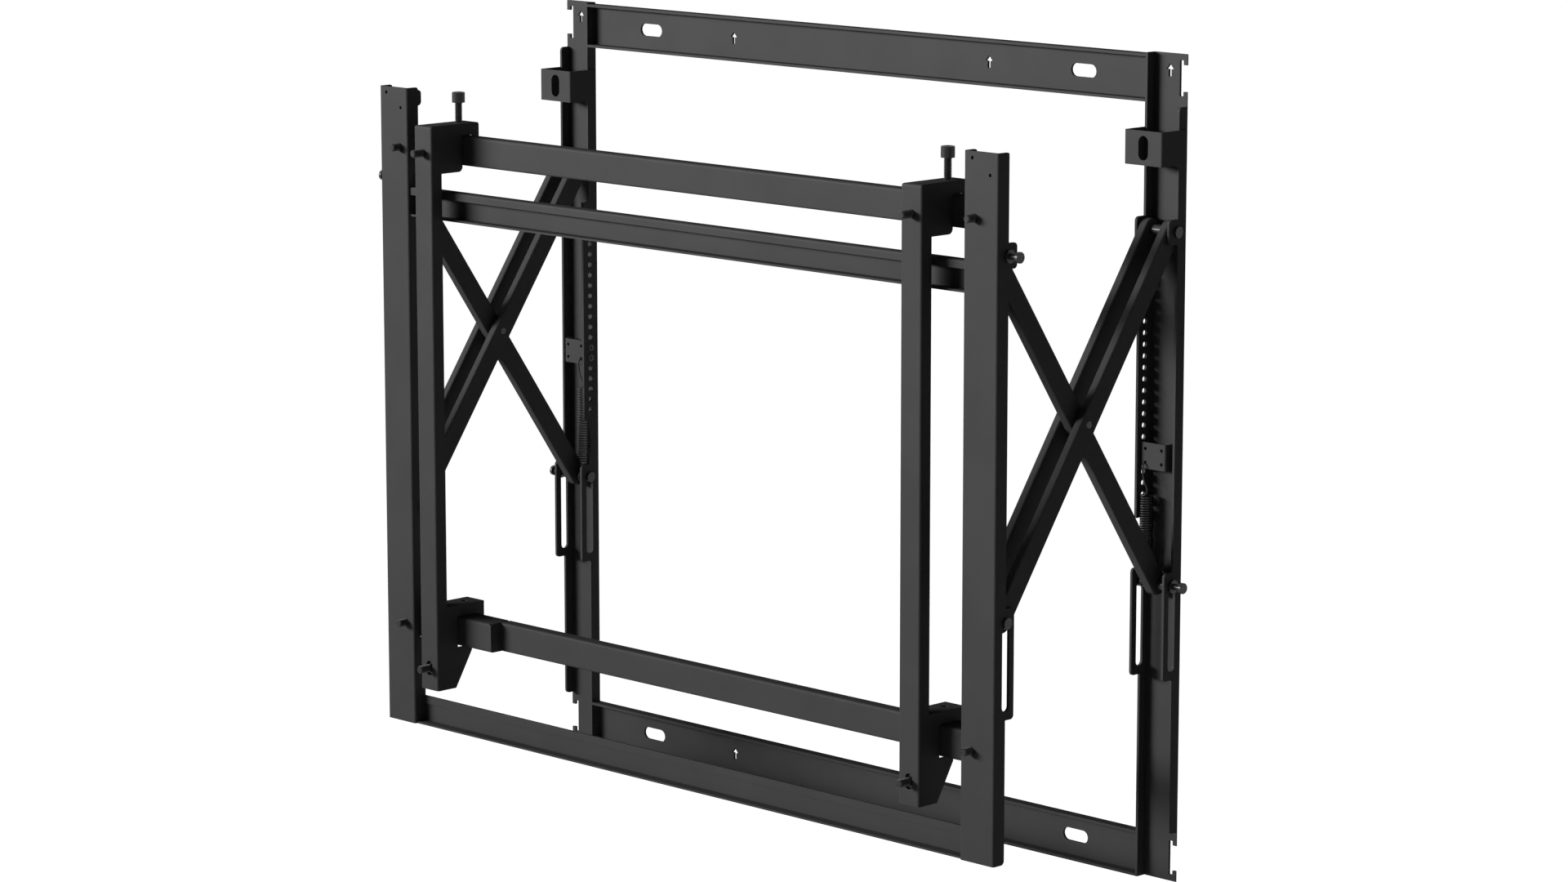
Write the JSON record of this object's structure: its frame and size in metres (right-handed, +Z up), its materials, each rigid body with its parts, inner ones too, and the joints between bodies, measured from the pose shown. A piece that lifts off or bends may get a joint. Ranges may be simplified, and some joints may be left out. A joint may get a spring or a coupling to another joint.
{
  "type": "video wall mount",
  "caption": "Pop-out video wall mount: a wall frame, two scissor linkages with pull springs and a front frame with height-adjustable display brackets.",
  "frame": {"origin": "middle of the four wall slots, in the wall plane", "axes": "+Z up, +X to the right seen from the front, front of the mount towards -Y"},
  "size_m": [0.6666, 0.2235, 0.6],
  "materials": {
    "powder_coat": "satin",
    "pin_steel": "satin",
    "screw_steel": "satin",
    "spring_steel": "satin",
    "pad_plastic": "matt"
  },
  "bodies": {
    "wall_frame": {"wall_upright_left": "powder_coat", "wall_upright_right": "powder_coat", "wall_rail_top": "powder_coat", "wall_rail_bottom": "powder_coat", "stop_bracket_left": "powder_coat", "stop_bracket_right": "powder_coat", "spring_anchor_left": "powder_coat", "spring_anchor_right": "powder_coat", "spring_anchor_screws": "screw_steel", "pull_spring_left": "spring_steel", "pull_spring_right": "spring_steel", "rear_pivot_pin_left": "pin_steel", "rear_pivot_pin_right": "pin_steel"},
    "left_outer_arm": {"outer_arm_left_near_bar": "powder_coat", "outer_arm_left_far_bar": "powder_coat", "outer_arm_spacers_left": "pin_steel", "centre_pin_left": "pin_steel", "front_slide_pin_left": "pin_steel"},
    "left_inner_arm": {"inner_arm_left": "powder_coat", "inner_arm_spacers_left": "pin_steel", "rear_slide_pin_left": "pin_steel"},
    "right_outer_arm": {"outer_arm_right_near_bar": "powder_coat", "outer_arm_right_far_bar": "powder_coat", "outer_arm_spacers_right": "pin_steel", "centre_pin_right": "pin_steel", "front_slide_pin_right": "pin_steel"},
    "right_inner_arm": {"inner_arm_right": "powder_coat", "inner_arm_spacers_right": "pin_steel", "rear_slide_pin_right": "pin_steel"},
    "front_frame": {"front_upright_left": "powder_coat", "front_upright_right": "powder_coat", "front_rail_middle": "powder_coat", "front_rail_bottom": "powder_coat", "carrier_top": "powder_coat", "carrier_low": "powder_coat", "carrier_bolts": "screw_steel", "front_pivot_pin_left": "pin_steel", "front_pivot_pin_right": "pin_steel"},
    "left_glide": {"glide_pad_left": "pad_plastic"},
    "left_height_screw": {"height_screw_left": "screw_steel"},
    "left_bracket": {"display_bracket_left": "powder_coat", "display_studs_left": "screw_steel"},
    "right_glide": {"glide_pad_right": "pad_plastic"},
    "right_height_screw": {"height_screw_right": "screw_steel"},
    "right_bracket": {"display_bracket_right": "powder_coat", "display_studs_right": "screw_steel"}
  },
  "joints": [
    {"name": "left_outer_arm_fold", "type": "hinge", "parent": "wall_frame", "child": "left_outer_arm", "pos_m": [-0.306, -0.011, 0.1755], "axis": [1, 0, 0], "range_deg": [0, 30.33], "stiffness_Nm_per_rad": 10, "springref_deg": -11.46, "deforming": ["pull_spring_left"]},
    {"name": "left_inner_arm_fold", "type": "hinge", "parent": "left_outer_arm", "child": "left_inner_arm", "pos_m": [-0.306, -0.099, 0.0479], "axis": [1, 0, 0], "range_deg": [-60.68, 0]},
    {"name": "right_outer_arm_fold", "type": "hinge", "parent": "wall_frame", "child": "right_outer_arm", "pos_m": [0.306, -0.011, 0.1755], "axis": [1, 0, 0], "range_deg": [0, 30.34], "stiffness_Nm_per_rad": 10, "springref_deg": -11.46, "deforming": ["pull_spring_right"]},
    {"name": "right_inner_arm_fold", "type": "hinge", "parent": "right_outer_arm", "child": "right_inner_arm", "pos_m": [0.306, -0.099, 0.0479], "axis": [1, 0, 0], "range_deg": [-60.68, 0]},
    {"name": "front_frame_fold", "type": "hinge", "parent": "left_inner_arm", "child": "front_frame", "pos_m": [-0.306, -0.187, 0.1755], "axis": [1, 0, 0], "range_deg": [0, 30.35]},
    {"name": "left_bracket_shift", "type": "slide", "parent": "front_frame", "child": "left_glide", "axis": [1, 0, 0], "range_m": [0, 0.155]},
    {"name": "left_screw_turn", "type": "hinge", "parent": "left_glide", "child": "left_height_screw", "pos_m": [-0.255, -0.1765, 0.2145], "axis": [0, 0, -1], "range_deg": [-1, 361]},
    {"name": "left_bracket_lift", "type": "slide", "parent": "left_glide", "child": "left_bracket", "axis": [0, 0, 1], "range_m": [0, 0.001]},
    {"name": "right_bracket_shift", "type": "slide", "parent": "front_frame", "child": "right_glide", "axis": [-1, 0, 0], "range_m": [0, 0.155]},
    {"name": "right_screw_turn", "type": "hinge", "parent": "right_glide", "child": "right_height_screw", "pos_m": [0.255, -0.1765, 0.2145], "axis": [0, 0, -1], "range_deg": [-1, 361]},
    {"name": "right_bracket_lift", "type": "slide", "parent": "right_glide", "child": "right_bracket", "axis": [0, 0, 1], "range_m": [0, 0.001]}
  ],
  "couplings": [
    {"joint": "left_inner_arm_fold", "follows": "left_outer_arm_fold", "ratio": -2},
    {"joint": "front_frame_fold", "follows": "left_outer_arm_fold", "ratio": 1},
    {"joint": "right_outer_arm_fold", "follows": "left_outer_arm_fold", "ratio": 1},
    {"joint": "right_inner_arm_fold", "follows": "left_outer_arm_fold", "ratio": -2},
    {"joint": "left_screw_turn", "follows": "left_bracket_lift", "rad_per_m": 6283.2},
    {"joint": "right_screw_turn", "follows": "right_bracket_lift", "rad_per_m": 6283.2}
  ]
}
